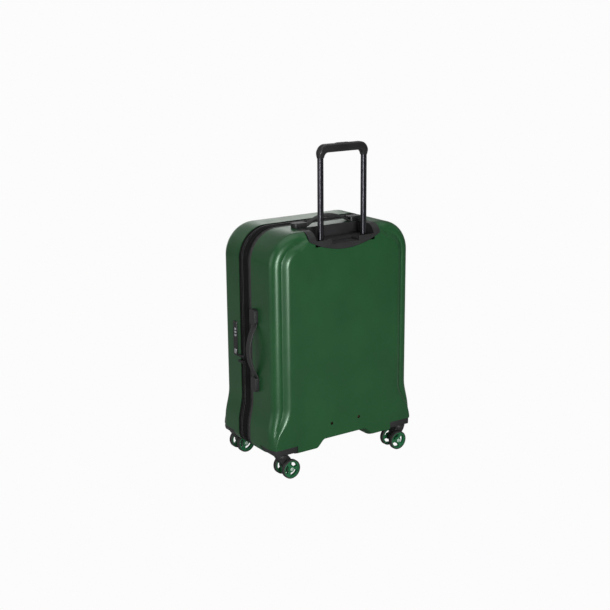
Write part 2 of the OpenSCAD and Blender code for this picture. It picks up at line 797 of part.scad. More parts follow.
module wheel(c, out) {
    h = wheel_t / 2;
    rim_t = 3;
    hub_r = 6.3;
    dish = 2.5;
    color(green) at_wheel(c, out) difference() {
        cylinder(r = disc_r, h = wheel_t, center = true);
        translate([0, 0, h - dish]) difference() {
            cylinder(r = disc_r - rim_t, h = 3);
            cylinder(r = hub_r, h = 6, center = true);
        }
        // three curved windows
        for (a = [0, 120, 240]) rotate(a) translate([0, 0, -h - cut]) linear_extrude(wheel_t + 2 * cut) {
            polygon(concat([for (b = [-42 : 12 : 42]) (disc_r - 4.5) * [cos(b), sin(b)]],
                           [for (b = [42 : -12 : -42]) 10 * [cos(b), sin(b)]]));
        }
        translate([0, 0, -h - cut]) cylinder(r = axle_r + run_gap, h = wheel_t);
    }
}

module tyre(c, out) {
    color(black) at_wheel(c, out) rotate_extrude($fn = 72) translate([disc_r, 0]) union() {
        translate([0, -wheel_t / 2]) square([tyre_t - tyre_r, wheel_t]);
        translate([0, -wheel_t / 2 + tyre_r]) square([tyre_t, wheel_t - 2 * tyre_r]);
        for (s = [-1, 1]) translate([tyre_t - tyre_r, s * (wheel_t / 2 - tyre_r)]) circle(tyre_r, $fn = 24);
    }
}

// ---- nodes ---------------------------------------------------------------------------------

back_shell();
front_shell();
back_lining();
front_lining();
back_edge_trim();
expansion_gusset();
expansion_band();
lid_zip_tape();
packing_straps();
lid_pocket();
handle_well();
rail_outer_tubes();
rail_foot();
rail_rivets();
rail_mid_tubes();
rail_inner_tubes();
release_rods();
grip();
grip_button();
top_handle_mounts();
side_handle_mounts();
top_handle();
side_handle();
lock_body();
for (i = [1 : 3]) lock_dial(i);
lock_release();
zip_slider(slider_z + slider_pitch);  // zip_slider_upper
zip_slider(slider_z);  // zip_slider_lower
for (c = [0 : 3]) wheel_housing(corner_x[c], corner_y[c]);
swivel_pins(1);  // back_swivel_pins
swivel_pins(-1);  // front_swivel_pins
for (c = [0 : 3]) {
    fork(c);
    axle(c);
    wheel(c, -1);
    tyre(c, -1);
    wheel(c, 1);
    tyre(c, 1);
}
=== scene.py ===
"""Looks of a hard shell suitcase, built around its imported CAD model. Metres; the trolley side faces +Y."""

import json
from math import cos, hypot, pi, radians, sin

import bmesh
import bpy
from mathutils import Matrix, Vector, noise

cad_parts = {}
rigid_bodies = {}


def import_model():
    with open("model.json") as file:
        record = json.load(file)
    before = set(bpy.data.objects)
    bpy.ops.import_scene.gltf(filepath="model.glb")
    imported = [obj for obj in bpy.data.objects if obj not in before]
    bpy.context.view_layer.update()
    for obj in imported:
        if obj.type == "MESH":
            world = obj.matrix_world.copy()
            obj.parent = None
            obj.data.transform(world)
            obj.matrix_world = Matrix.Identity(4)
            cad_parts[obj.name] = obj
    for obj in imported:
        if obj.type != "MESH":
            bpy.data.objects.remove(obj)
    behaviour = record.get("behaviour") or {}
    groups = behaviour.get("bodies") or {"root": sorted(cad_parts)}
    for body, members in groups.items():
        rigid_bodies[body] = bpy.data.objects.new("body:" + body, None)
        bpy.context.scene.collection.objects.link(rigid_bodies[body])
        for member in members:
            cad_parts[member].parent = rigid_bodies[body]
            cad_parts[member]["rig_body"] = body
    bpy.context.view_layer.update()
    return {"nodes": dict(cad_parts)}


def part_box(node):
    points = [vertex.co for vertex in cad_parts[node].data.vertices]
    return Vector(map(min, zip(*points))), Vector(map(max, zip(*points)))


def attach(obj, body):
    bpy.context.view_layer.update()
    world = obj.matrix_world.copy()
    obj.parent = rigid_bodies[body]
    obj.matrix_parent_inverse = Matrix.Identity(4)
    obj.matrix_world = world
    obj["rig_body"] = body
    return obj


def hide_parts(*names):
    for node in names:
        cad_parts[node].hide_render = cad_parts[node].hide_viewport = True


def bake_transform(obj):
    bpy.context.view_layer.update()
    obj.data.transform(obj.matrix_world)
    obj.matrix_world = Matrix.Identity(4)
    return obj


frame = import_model()
scene = bpy.context.scene
MM = 0.001

# ---- sizes, from the CAD's boxes ------------------------------------------------------------

back_low, back_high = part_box("back_shell")
front_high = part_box("front_shell")[1]
trim_low, trim_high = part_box("back_edge_trim")
band_low, band_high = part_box("expansion_band")
tape_low, tape_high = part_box("lid_zip_tape")
well_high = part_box("handle_well")[1]
tubes_low, tubes_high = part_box("rail_inner_tubes")
grip_low, grip_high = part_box("grip")
housing_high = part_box("wheel_housing_back_right")[1]

TOP, LOW, PANEL = back_high.z, back_low.z, back_high.y
HIP_X = back_high.x
BACK_RIM, FRONT_RIM = back_low.y, front_high.y
TRIM_FRONT = trim_low.y
SIDE_X = HIP_X - 12 * MM
CORNER_R, LOW_CORNER_R = 87 * MM, 34 * MM
HIP_TOP, HIP_MID = 200 * MM, 122 * MM
ARCH_HALF, ARCH_STEP, ARCH_RISE = 68 * MM, 30 * MM, 22 * MM
COLLAR_HALF, WELL_SHARE, GROOVE_FADE = well_high.x, 0.62, 35 * MM
HOUSING_TOP = housing_high.z + 0.2 * MM
HOUSING_X, HOUSING_Y = 80 * MM, 68 * MM
EDGE_R, GROOVE_AT, GROOVE_DIP, RAISE, PANEL_AT = (v * MM for v in (22, 28, 1.5, 9.5, 49))
WALL = 2 * MM


def ease(t):
    t = min(max(t, 0), 1)
    return t * t * (3 - 2 * t)


# ---- camera ---------------------------------------------------------------------------------

AZIMUTH, RISE, ROLL = radians(34.02), radians(14.757), radians(-0.4685)
FOCAL = 67.2
back_way = Vector((sin(AZIMUTH) * cos(RISE), cos(AZIMUTH) * cos(RISE), sin(RISE)))
right = Vector((-cos(AZIMUTH), sin(AZIMUTH), 0))
upward = right.cross(-back_way)
across_view = right * cos(ROLL) + upward * sin(ROLL)
up_view = upward * cos(ROLL) - right * sin(ROLL)
turn = Matrix((across_view, up_view, back_way)).transposed().to_4x4()
camera = bpy.data.objects.new("camera", bpy.data.cameras.new("camera"))
camera.matrix_world = Matrix.Translation((1.7667, 2.5576, 1.2496)) @ turn
camera.data.lens = FOCAL
camera.data.sensor_width = 36
camera.data.clip_end = 50
scene.collection.objects.link(camera)
scene.camera = camera

# ---- materials ------------------------------------------------------------------------------


def colour(code):
    """Linear colour of an sRGB hex code."""
    parts = [int(code[i : i + 2], 16) / 255 for i in (0, 2, 4)]
    return (*(c / 12.92 if c <= 0.04045 else ((c + 0.055) / 1.055) ** 2.4 for c in parts), 1)


def put(tree, kind, inputs=None, **settings):
    """Adds a node with its settings, and its inputs as values or links."""
    node = tree.nodes.new("ShaderNode" + kind)
    for key, value in settings.items():
        setattr(node, key, value)
    for key, value in (inputs or {}).items():
        if isinstance(value, bpy.types.NodeSocket):
            tree.links.new(value, node.inputs[key])
        else:
            node.inputs[key].default_value = value
    return node


def ramp(tree, fac, stops):
    """A colour ramp through (position, colour or grey) stops."""
    node = put(tree, "ValToRGB", {"Fac": fac})
    while len(node.color_ramp.elements) < len(stops):
        node.color_ramp.elements.new(0.5)
    for element, (place, shade) in zip(node.color_ramp.elements, stops):
        element.position = place
        element.color = shade if hasattr(shade, "__len__") else (shade, shade, shade, 1)
    return node.outputs["Color"]


def start(name, **shader):
    material = bpy.data.materials.new(name)
    material.use_nodes = True
    tree = material.node_tree
    surface = tree.nodes["Principled BSDF"]
    for key, value in shader.items():
        surface.inputs[key.replace("_", " ")].default_value = value
    return material, tree, surface, put(tree, "TexCoord").outputs["Object"]


def link_finish(tree, surface, base, rough, bumps):
    """Joins colour, roughness and a stack of (height, strength, distance) bumps to the shader."""
    tree.links.new(base, surface.inputs["Base Color"])
    tree.links.new(rough, surface.inputs["Roughness"])
    normal = None
    for height, strength, distance in bumps:
        inputs = {"Height": height, "Strength": strength, "Distance": distance}
        if normal:
            inputs["Normal"] = normal
        normal = put(tree, "Bump", inputs).outputs["Normal"]
    tree.links.new(normal, surface.inputs["Normal"])


def moulded(name, base, light, rough, grain_mm, grain=0.25, waves=0.0, scuffs=0.0, **shader):
    """Injection-moulded or vacuum-formed plastic: fine grain, slow shade drift, faint rubbing."""
    material, tree, surface, where = start(name, **shader)
    drift = put(tree, "TexNoise", {"Vector": where, "Scale": 9.0, "Detail": 3.0}).outputs["Fac"]
    shade = ramp(tree, drift, [(0.3, colour(base)), (0.72, colour(light))])
    fine = put(tree, "TexNoise", {"Vector": where, "Scale": 1 / (grain_mm * MM), "Detail": 2.0}).outputs["Fac"]
    smear = put(tree, "TexNoise", {"Vector": where, "Scale": 35.0, "Detail": 5.0}).outputs["Fac"]
    long_way = put(tree, "Mapping", {"Vector": where, "Scale": (1.0, 1.0, 0.12)}).outputs["Vector"]
    hairs = put(tree, "TexNoise", {"Vector": long_way, "Scale": 420.0, "Detail": 3.0}).outputs["Fac"]
    hair = ramp(tree, hairs, [(0.66, 0.0), (0.72, 1.0)])
    smooth = ramp(tree, smear, [(0.3, rough * 0.9), (0.75, rough * 1.12)])
    rub = put(tree, "MixRGB", {"Fac": scuffs, "Color1": smooth, "Color2": (0.62, 0.62, 0.62, 1)})
    roughness = put(tree, "MixRGB", {"Fac": hair, "Color1": rub.outputs[0], "Color2": (rough * 1.25,) * 3 + (1,)})
    bumps = [(fine, grain, grain_mm * MM * 0.25)]
    if waves:
        slow = put(tree, "TexNoise", {"Vector": where, "Scale": 14.0, "Detail": 1.0}).outputs["Fac"]
        bumps.append((slow, waves, 1.2 * MM))
    link_finish(tree, surface, shade, roughness.outputs[0], bumps)
    return material


def metal(name, base, light, rough, brush=(1.0, 1.0, 0.02), depth=0.12, metallic=1.0, **shader):
    """Metal with a drawn or brushed finish along Z, and small handling marks."""
    material, tree, surface, where = start(name, Metallic=metallic, **shader)
    along = put(tree, "Mapping", {"Vector": where, "Scale": brush}).outputs["Vector"]
    lines = put(tree, "TexNoise", {"Vector": along, "Scale": 2600.0, "Detail": 4.0}).outputs["Fac"]
    marks = put(tree, "TexNoise", {"Vector": where, "Scale": 120.0, "Detail": 5.0}).outputs["Fac"]
    shade = ramp(tree, marks, [(0.35, colour(base)), (0.75, colour(light))])
    link_finish(tree, surface, shade, ramp(tree, lines, [(0.2, rough * 0.8), (0.8, rough * 1.3)]),
                [(lines, depth, 0.05 * MM)])
    return material


def maths(tree, operation, *values):
    """Result of a calculation on node outputs and numbers."""
    return put(tree, "Math", dict(enumerate(values)), operation=operation).outputs[0]


def cloth(name, warp, weft, thread_mm, run=None, stitches=(), rough=0.85, **shader):
    """Plain weave of two thread colours. With run, the weave and the stitch lines follow that attribute:
    along the piece in x and across it in y, both in metres."""
    material, tree, surface, where = start(name, **shader)
    if run:
        where = put(tree, "Attribute", attribute_name=run).outputs["Vector"]
    split = put(tree, "SeparateXYZ", {"Vector": where}).outputs
    pitch = thread_mm * MM
    axes = (split["X"], split["Y"]) if run else (
        maths(tree, "ADD", split["X"], split["Y"]), split["Z"])
    threads = [maths(tree, "SINE", maths(tree, "MULTIPLY", axis, pi / pitch)) for axis in axes]
    height = maths(tree, "MULTIPLY_ADD", maths(tree, "MULTIPLY", *threads), 0.5, 0.5)
    shade = ramp(tree, height, [(0.2, colour(warp)), (0.8, colour(weft))])
    fuzz = put(tree, "TexNoise", {"Vector": where, "Scale": 900.0, "Detail": 3.0}).outputs["Fac"]
    fluff = ramp(tree, fuzz, [(0.3, 0.0), (0.8, 0.02)])
    shade = put(tree, "MixRGB", {"Fac": 0.25, "Color1": shade, "Color2": fluff}, blend_type="ADD").outputs[0]
    bumps = [(height, 0.6, pitch * 0.35)]
    for line in stitches:
        off = maths(tree, "ABSOLUTE", maths(tree, "SUBTRACT", axes[1], line))
        beat = maths(tree, "FRACT", maths(tree, "DIVIDE", axes[0], 3.4 * MM))
        near = maths(tree, "LESS_THAN", off, 0.45 * MM)
        dash = maths(tree, "MULTIPLY", maths(tree, "LESS_THAN", beat, 0.72), near)
        shade = put(tree, "MixRGB", {"Fac": dash, "Color1": shade, "Color2": colour("3c3b3d")}).outputs[0]
        bumps.append((dash, 0.8, 0.5 * MM))
    link_finish(tree, surface, shade, ramp(tree, fuzz, [(0.2, rough * 0.92), (0.8, min(1, rough * 1.08))]), bumps)
    return material


# Vacuum-formed polycarbonate sheet, satin top layer: deep green with soft, broad highlights
shell_green = moulded("polycarbonate_satin_green", "174a25", "1b5229", 0.33, 1.1, grain=0.08, waves=0.05,
                      scuffs=0.03, IOR=1.58, Metallic=0.2)
# Injection-moulded nylon of the wheel discs: brighter, glossier green
wheel_green = moulded("nylon_gloss_green", "185431", "216841", 0.3, 0.8, grain=0.06, IOR=1.53)
# Pale caps over the axle ends
cap_grey = moulded("nylon_pale_cap", "8fa697", "a9bdb0", 0.35, 0.8, grain=0.06, IOR=1.53)
# Fine-grained moulded ABS: near-black that shows a dull sheen on edges
abs_black = moulded("abs_grained_black", "161617", "212123", 0.48, 0.9, grain=0.35, scuffs=0.08, IOR=1.54)
# The same plastic on the grip, polished by hands
abs_grip = moulded("abs_polished_black", "141415", "1d1d1f", 0.36, 0.9, grain=0.18, scuffs=0.05, IOR=1.54)
# Soft-touch thermoplastic rubber of the carry handles: matt, slightly grey
soft_rubber = moulded("rubber_soft_touch", "1c1c1d", "29292b", 0.62, 0.7, grain=0.3, IOR=1.5)
# Extruded rubber edge trim: matt brown-grey
edge_rubber = moulded("rubber_extruded_edge", "2e2c2d", "3a3838", 0.55, 0.8, grain=0.2, IOR=1.5)
# Polyurethane tyre: matt, scuffed where it rolls
tyre_black = moulded("polyurethane_tyre", "1b1b1b", "2c2b2a", 0.66, 1.0, grain=0.35, scuffs=0.15, IOR=1.5)
# Drawn aluminium tube, anodised dark grey: fine lines along its length
tube_metal = metal("aluminium_anodised_dark", "3d3d41", "4b4b50", 0.34)
# Zinc-plated steel of axles, pins and rods
steel = metal("steel_zinc_plated", "9a9ba0", "b5b6ba", 0.3, brush=(1, 1, 1), depth=0.2)
# Satin silver release button of the lock
silver = metal("zinc_satin_silver", "b9babd", "cfd0d2", 0.35, depth=0.2)
# Acetal number dials: pale grey, slightly glossy
dial_grey = moulded("acetal_dial_grey", "8b8c90", "a3a4a8", 0.4, 0.6, grain=0.1, IOR=1.48)
# Bronzed rivet heads
bronze = metal("steel_bronzed", "2b211b", "3c2f26", 0.45, brush=(1, 1, 1), depth=0.3)
# Black painted zinc castings of the zip sliders
zinc_black = metal("zinc_painted_black", "1c1c1e", "29292c", 0.38, brush=(1, 1, 1), depth=0.1, metallic=0.35)
# Woven nylon zip tape, 1.4 mm weave so that it shows, with its two seams
zip_tape = cloth("nylon_woven_tape", "0b0b0b", "161616", 1.4, run="run", stitches=(6.0 * MM, 29.0 * MM),
                 Specular_IOR_Level=0.12)
narrow_tape = cloth("nylon_woven_narrow", "0b0b0b", "161616", 1.4, run="run", stitches=(9.0 * MM,),
                    Specular_IOR_Level=0.12)
# Plain black webbing of the packing straps
webbing = cloth("nylon_webbing_black", "141415", "252527", 1.8)
# Woven polyester lining, charcoal
lining_cloth = cloth("polyester_lining_charcoal", "37373a", "4a4a4e", 1.6, Sheen_Weight=0.2)
# Moulded acetal zip teeth
teeth_black = moulded("acetal_teeth_black", "19191a", "2b2b2d", 0.4, 0.6, grain=0.1, IOR=1.48)

# ---- making pieces --------------------------------------------------------------------------


def shade_smooth(bm, sharp):
    """Smooth shading, with edges sharper than the angle kept crisp."""
    for face in bm.faces:
        face.smooth = True
    for edge in bm.edges:
        edge.smooth = len(edge.link_faces) != 2 or edge.calc_face_angle(0) < radians(sharp)


def finish_piece(bm, name, body, material, sharp=40, replaces=()):
    """Turns a bmesh into a piece that rides on a body; edges sharper than the angle stay crisp."""
    bmesh.ops.recalc_face_normals(bm, faces=bm.faces)
    shade_smooth(bm, sharp)
    mesh = bpy.data.meshes.new(name)
    bm.to_mesh(mesh)
    bm.free()
    piece = bpy.data.objects.new(name, mesh)
    scene.collection.objects.link(piece)
    for m in material if isinstance(material, (list, tuple)) else [material]:
        mesh.materials.append(m)
    if body:
        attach(piece, body)
    if replaces:
        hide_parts(*replaces)
    return piece


def round_edges(bm, edges, width, segments):
    """Rounds edges by a width in millimetres."""
    bmesh.ops.bevel(bm, geom=edges, offset=width * MM, offset_type="OFFSET", affect="EDGES", profile=0.5,
                    segments=segments, material=-1, clamp_overlap=True)


def settle(piece):
    """Applies a piece's modifiers to its mesh."""
    graph = bpy.context.evaluated_depsgraph_get()
    old = piece.data
    piece.data = bpy.data.meshes.new_from_object(piece.evaluated_get(graph))
    piece.modifiers.clear()
    bpy.data.meshes.remove(old)


def crisp(piece, sharp):
    """Shades a piece's mesh again after it was cut."""
    bm = bmesh.new()
    bm.from_mesh(piece.data)
    shade_smooth(bm, sharp)
    bm.to_mesh(piece.data)
    bm.free()


def refined(node, material, width=0.5, segments=2, angle=32, extra=None):
    """A CAD node's shape with its loose triangles merged and its edges softly rounded."""
    bm = bmesh.new()
    bm.from_mesh(frame["nodes"][node].data)
    bmesh.ops.remove_doubles(bm, verts=bm.verts, dist=0.01 * MM)
    bmesh.ops.dissolve_limit(bm, angle_limit=radians(1.5), verts=bm.verts, edges=bm.edges)
    body = frame["nodes"][node]["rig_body"]
    if width:
        keen = [e for e in bm.edges if len(e.link_faces) == 2 and e.calc_face_angle(0) > radians(angle)]
        round_edges(bm, keen, width, segments)
    if extra:
        extra(bm)
    return finish_piece(bm, node + "_finished", body, material, replaces=[node])


def loft(bm, rings, closed=False, cap=True, run=None):
    """Skin drawn through rings of equally many points. The last ring is filled, or joined to the first.
    run(ring, point) fills the vertex layer that carries a pattern along the piece."""
    layer = bm.verts.layers.float_vector.get("run") or bm.verts.layers.float_vector.new("run") if run else None
    count = len(rings[0])
    row = [bm.verts.new(p) for p in rings[0]]
    edges = [bm.edges.new((row[i], row[(i + 1) % count])) for i in range(count)]
    first = edges
    if run:
        for i, v in enumerate(row):
            v[layer] = run(0, i)
    for k, ring in enumerate(rings[1:], 1):
        made = bmesh.ops.extrude_edge_only(bm, edges=edges)["geom"]
        new = {v.co.to_tuple(7): v for v in made if isinstance(v, bmesh.types.BMVert)}
        row = [new[v.co.to_tuple(7)] for v in row]
        for i, (v, p) in enumerate(zip(row, ring)):
            v.co = p
            if run:
                v[layer] = run(k, i)
        edges = [bm.edges.get((row[i], row[(i + 1) % count])) for i in range(count)]
    if closed:
        bmesh.ops.bridge_loops(bm, edges=first + edges)
    elif cap:
        bmesh.ops.edgeloop_fill(bm, edges=edges)
    return first, edges


def prism(start_ring, end_ring, bm=None):
    """Closed solid between two flat rings."""
    bm = bm or bmesh.new()
    first, last = loft(bm, [start_ring, end_ring])
    bmesh.ops.edgeloop_fill(bm, edges=first)
    bmesh.ops.recalc_face_normals(bm, faces=bm.faces)
    return bm


def slab(points, y1, y2, bm=None):
    """Closed solid of a shape in X and Z, thickened from y1 to y2."""
    return prism([(x, y1, z) for x, z in points], [(x, y2, z) for x, z in points], bm)


def rounded_points(cx, cz, w, h, r, steps=6):
    """Corner-rounded rectangle, counter-clockwise."""
    points = []
    for q in range(4):
        ox = (1, -1, -1, 1)[q] * (w / 2 - r)
        oz = (1, 1, -1, -1)[q] * (h / 2 - r)
        for s in range(steps + 1):
            a = pi / 2 * (q + s / steps)
            points.append((cx + ox + r * cos(a), cz + oz + r * sin(a)))
    return points


def box_into(bm, centre, size, turn=None, material=0):
    """Adds a box and returns its vertices."""
    made = bmesh.ops.create_cube(bm, size=1.0, matrix=Matrix.Translation(centre) @ (turn or Matrix()).to_4x4()
                                 @ Matrix.Diagonal((*size, 1)))["verts"]
    for face in {f for v in made for f in v.link_faces}:
        face.material_index = material
    return made


# ---- outline of the case --------------------------------------------------------------------


def side_x(z):
    return SIDE_X + (HIP_X - SIDE_X) * ease((HIP_TOP - z) / (HIP_TOP - HIP_MID))


def half_outline():
    """Right half, from the middle of the arch to just before the middle of the top."""
    points = [(ARCH_HALF * t / 6, LOW + ARCH_RISE) for t in range(6)]
    points += [(ARCH_HALF + ARCH_STEP * t / 10, LOW + ARCH_RISE * (1 - ease(t / 10))) for t in range(11)]
    flat = HIP_X - LOW_CORNER_R
    points += [(ARCH_HALF + ARCH_STEP + (flat - ARCH_HALF - ARCH_STEP) * t / 8, LOW) for t in range(1, 8)]
    points += [(flat + LOW_CORNER_R * sin(pi * t / 28), LOW + LOW_CORNER_R * (1 - cos(pi * t / 28)))
               for t in range(15)]
    points += [(side_x(z), z) for z in [(LOW + LOW_CORNER_R) + (HIP_MID - LOW - LOW_CORNER_R) * t / 3
                                        for t in (1, 2, 3)]]
    points += [(side_x(z), z) for z in [HIP_MID + (HIP_TOP - HIP_MID) * t / 14 for t in range(1, 15)]]
    straight = TOP - CORNER_R - HIP_TOP
    points += [(SIDE_X, HIP_TOP + straight * t / 12) for t in range(1, 12)]
    points += [(SIDE_X - CORNER_R * (1 - cos(pi * t / 48)), TOP - CORNER_R * (1 - sin(pi * t / 48)))
               for t in range(25)]
    reach = SIDE_X - CORNER_R
    points += [(reach * (1 - t / 16), TOP) for t in range(1, 16)]
    return points


half = half_outline()
OUTLINE = half + [(0, TOP)] + [(-x, z) for x, z in reversed(half[1:])]
N = len(OUTLINE)
NORMAL, RUN = [], [0.0]
for i in range(N):
    (x0, z0), (x1, z1) = OUTLINE[i - 1], OUTLINE[(i + 1) % N]
    d = hypot(x1 - x0, z1 - z0)
    x, z = OUTLINE[i]
    arch = abs(x) < ARCH_HALF + ARCH_STEP + 3 * MM and z < LOW + ARCH_RISE + 1 * MM
    NORMAL.append((0, -1) if arch else ((z1 - z0) / d, -(x1 - x0) / d))
    RUN.append(RUN[-1] + hypot(x1 - x, z1 - z))


def inset(i, d):
    return OUTLINE[i][0] - NORMAL[i][0] * d, OUTLINE[i][1] - NORMAL[i][1] * d


def outline_ring(y, d):
    return [(x, y, z) for x, z in (inset(i, d) for i in range(N))]


def on_outline(s):
    """Point and outward normal at arc length s along the outline."""
    s %= RUN[-1]
    low, high = 0, N
    while high - low > 1:
        mid = (low + high) // 2
        low, high = (mid, high) if RUN[mid] <= s else (low, mid)
    t = (s - RUN[low]) / (RUN[low + 1] - RUN[low])
    a, b = low, (low + 1) % N
    mix = lambda u, v: u * (1 - t) + v * t
    return [[mix(table[a][k], table[b][k]) for k in (0, 1)] for table in (OUTLINE, NORMAL)]


# ---- shells ---------------------------------------------------------------------------------


def face_point(u):
    """Inset and depth below the panel along the face's section, from the side wall (0) to the panel (1)."""
    steps = u * 11
    if steps < 5:
        a = pi / 2 * steps / 5
        return EDGE_R * (1 - cos(a)), RAISE + EDGE_R * (1 - sin(a))
    if steps < 6:
        t = steps - 5
        return EDGE_R + (GROOVE_AT - EDGE_R) * t, RAISE + GROOVE_DIP * ease(t)
    t = (steps - 6) / 5
    return GROOVE_AT + (PANEL_AT - GROOVE_AT) * t, (RAISE + GROOVE_DIP) * (1 - sin(pi / 2 * t) ** 1.15)


def face_ring(u, has_well):
    """Ring of (x, depth below the panel, z)."""
    q_inset, q_depth = face_point(u)
    ring = []
    for i, (x, z) in enumerate(OUTLINE):
        edge = 1 if not has_well or z < TOP - CORNER_R else ease((abs(x) - COLLAR_HALF) / GROOVE_FADE)
        low = 0.2 + 0.8 * ease((z - 86 * MM) / (HIP_TOP - 86 * MM))
        g, s = min(low, edge), low * (WELL_SHARE + (1 - WELL_SHARE) * edge)
        plain = (RAISE + EDGE_R) * (1 - sin(pi / 2 * u))
        px, pz = inset(i, q_inset * s)
        ring.append((px, plain + (q_depth - plain) * g, pz))
    return ring


def corner_cutter(sx, sy):
    """Block that makes room for a wheel housing in a lower corner."""
    x0, y0 = HIP_X - HOUSING_X, PANEL - HOUSING_Y
    points = rounded_points(sx * (x0 + 50 * MM), sy * (y0 + 44 * MM), 100 * MM, 88 * MM, 6 * MM)
    return prism([(x, y, 20 * MM) for x, y in points], [(x, y, HOUSING_TOP) for x, y in points])


def cut_with(piece, cutter):
    """Subtracts a closed bmesh from a piece."""
    mesh = bpy.data.meshes.new("cutter")
    cutter.to_mesh(mesh)
    cutter.free()
    tool = bpy.data.objects.new("cutter", mesh)
    scene.collection.objects.link(tool)
    step = piece.modifiers.new("cut", "BOOLEAN")
    step.object, step.operation, step.solver = tool, "DIFFERENCE", "MANIFOLD"
    bpy.context.view_layer.update()
    settle(piece)
    bpy.data.objects.remove(tool)


def make_shell(name, node, rim, sy, has_well, cutters):
    bm = bmesh.new()
    rings = [outline_ring(rim, 0)]
    for k in range(34):
        rings.append([(x, sy * (PANEL - d), z) for x, d, z in face_ring(k / 33, has_well)])
    centre_z = (TOP + LOW) / 2
    rings.append([(x * 0.985, y, centre_z + (z - centre_z) * 0.985) for x, y, z in rings[-1]])
    depth = abs(rings[1][N // 2][1] - rim)
    wall = [outline_ring(rim + sy * depth * t, 0) for t in (0.04, 0.35, 0.7)]
    first, last = loft(bm, rings[:1] + wall + rings[1:], cap=False)
    bmesh.ops.triangle_fill(bm, edges=last, use_beauty=True, use_dissolve=False, normal=(0, sy, 0))
    bmesh.ops.recalc_face_normals(bm, faces=bm.faces)
    bm.normal_update()
    panel = max(bm.faces, key=lambda f: abs(f.normal.y) * f.calc_area())
    if panel.normal.y * sy < 0:
        bmesh.ops.reverse_faces(bm, faces=bm.faces)
    mesh = bpy.data.meshes.new(name)
    bm.to_mesh(mesh)
    bm.free()
    piece = bpy.data.objects.new(name, mesh)
    scene.collection.objects.link(piece)
    thick = piece.modifiers.new("wall", "SOLIDIFY")
    thick.thickness, thick.offset, thick.use_even_offset = WALL, -1, True
    bpy.context.view_layer.update()
    settle(piece)
    for cutter in cutters:
        cut_with(piece, cutter)
    crisp(piece, 38)
    piece.data.materials.clear()
    piece.data.materials.append(shell_green)
    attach(piece, frame["nodes"][node]["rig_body"])
    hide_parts(node)
    return piece


def collar_points(grow):
    """Collar of the handle well on the back face: its lower edge hangs in a shallow curve."""
    reach, drop, side = COLLAR_HALF + grow, 54 * MM, 24 * MM
    points = [(reach * t / 12, TOP - drop - grow + (drop - side) * (t / 12) ** 2) for t in range(-12, 13)]
    return points + [(reach, TOP + 20 * MM), (-reach, TOP + 20 * MM)]


def block(low, high):
    bm = bmesh.new()
    box_into(bm, [(a + b) / 2 for a, b in zip(low, high)], [b - a for a, b in zip(low, high)])
    return bm


well_round = PANEL_AT * WELL_SHARE
tub_x = 98.4 * MM
seam = 0.5 * MM
make_shell(
    "back_shell_moulded", "back_shell", BACK_RIM, 1, True,
    [corner_cutter(1, 1), corner_cutter(-1, 1),
     slab(collar_points(seam), PANEL - well_round, PANEL + 20 * MM),
     block((-tub_x, 63.5 * MM, TOP - 50 * MM), (tub_x, PANEL - well_round + 1 * MM, TOP + 20 * MM)),
     block((-COLLAR_HALF - seam, 63.5 * MM, TOP - 3.4 * MM),
           (COLLAR_HALF + seam, PANEL - well_round + 2 * MM, TOP + 21 * MM))])
lock_low, lock_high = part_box("lock_body")
make_shell(
    "front_shell_moulded", "front_shell", FRONT_RIM, -1, False,
    [corner_cutter(1, -1), corner_cutter(-1, -1),
     block((SIDE_X - 8 * MM, lock_low.y - 0.3 * MM, lock_low.z - 0.3 * MM),
           (SIDE_X + 20 * MM, lock_high.y + 0.3 * MM, lock_high.z + 0.3 * MM))])

# ---- zip band -------------------------------------------------------------------------------


def band_piece(name, node, material, profile, run=True):
    """Closed ring round the case: profile is a list of (inset, y) in millimetres, from above."""
    bm = bmesh.new()
    across_0 = min(y for _, y in profile)
    loft(bm, [outline_ring(y * MM, d * MM) for d, y in profile], closed=True,
         run=(lambda k, i: (RUN[i], (profile[k][1] - across_0) * MM, 0)) if run else None)
    return finish_piece(bm, name, frame["nodes"][node]["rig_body"], material, sharp=50, replaces=[node])


def bead(radius, y, inset_at, steps=8):
    """Half-round bead that stands out to an inset."""
    return [(inset_at + radius - radius * sin(pi * t / steps), y + radius * cos(pi * t / steps))
            for t in range(steps + 1)]


in_mm = lambda v: v / MM
rubber_profile = [(4.4, in_mm(trim_high.y))] + bead(2.9, in_mm(trim_high.y) - 3.1, 0.3) + [
    (2.7, 13.4), (2.2, 12.8), (2.2, 9.8)] + bead(0.7, 8.9, 1.6, 5) + [(2.3, 7.9), (2.4, in_mm(trim_low.y)),
                                                                     (4.4, in_mm(trim_low.y))]
band_piece("edge_trim_rubber", "back_edge_trim", edge_rubber, rubber_profile, run=False)

b0, b1 = in_mm(band_high.y), in_mm(band_low.y)
band_profile = [(5, b0), (3.6, b0), (3.4, b0 - 2.6)] + bead(1.5, b0 - 4.6, 0.5, 6) + [
    (3.0, b0 - 6.4), (2.6, b0 - 7.4), (1.7, b0 - 8.6), (1.6, (b0 + b1) / 2 + 1.6), (2.4, (b0 + b1) / 2 + 0.8),
    (2.4, (b0 + b1) / 2 - 0.8), (1.6, (b0 + b1) / 2 - 1.6), (1.7, b1 + 8.8), (2.6, b1 + 7.6),
    (3.0, b1 + 6.6)] + bead(1.5, b1 + 4.8, 0.5, 6) + [(3.4, b1 + 2.8), (3.6, b1), (5, b1)]
band_piece("expansion_band_tape", "expansion_band", zip_tape, band_profile)

t0, t1 = in_mm(tape_high.y), in_mm(tape_low.y)
tape_profile = [(5, t0), (3.6, t0), (3.4, t0 - 2.8), (2.4, t0 - 3.6), (2.2, t0 - 7.0), (3.0, t0 - 7.6)] + bead(
    1.6, t1 + 2.6, 0.4) + [(2.2, t1 + 0.6), (2.2, t1), (4, t1)]
band_piece("lid_tape_finished", "lid_zip_tape", narrow_tape, tape_profile)

PITCH = 2.7 * MM
TOOTH = Vector((1.25, 2.5, 1.3)) * MM


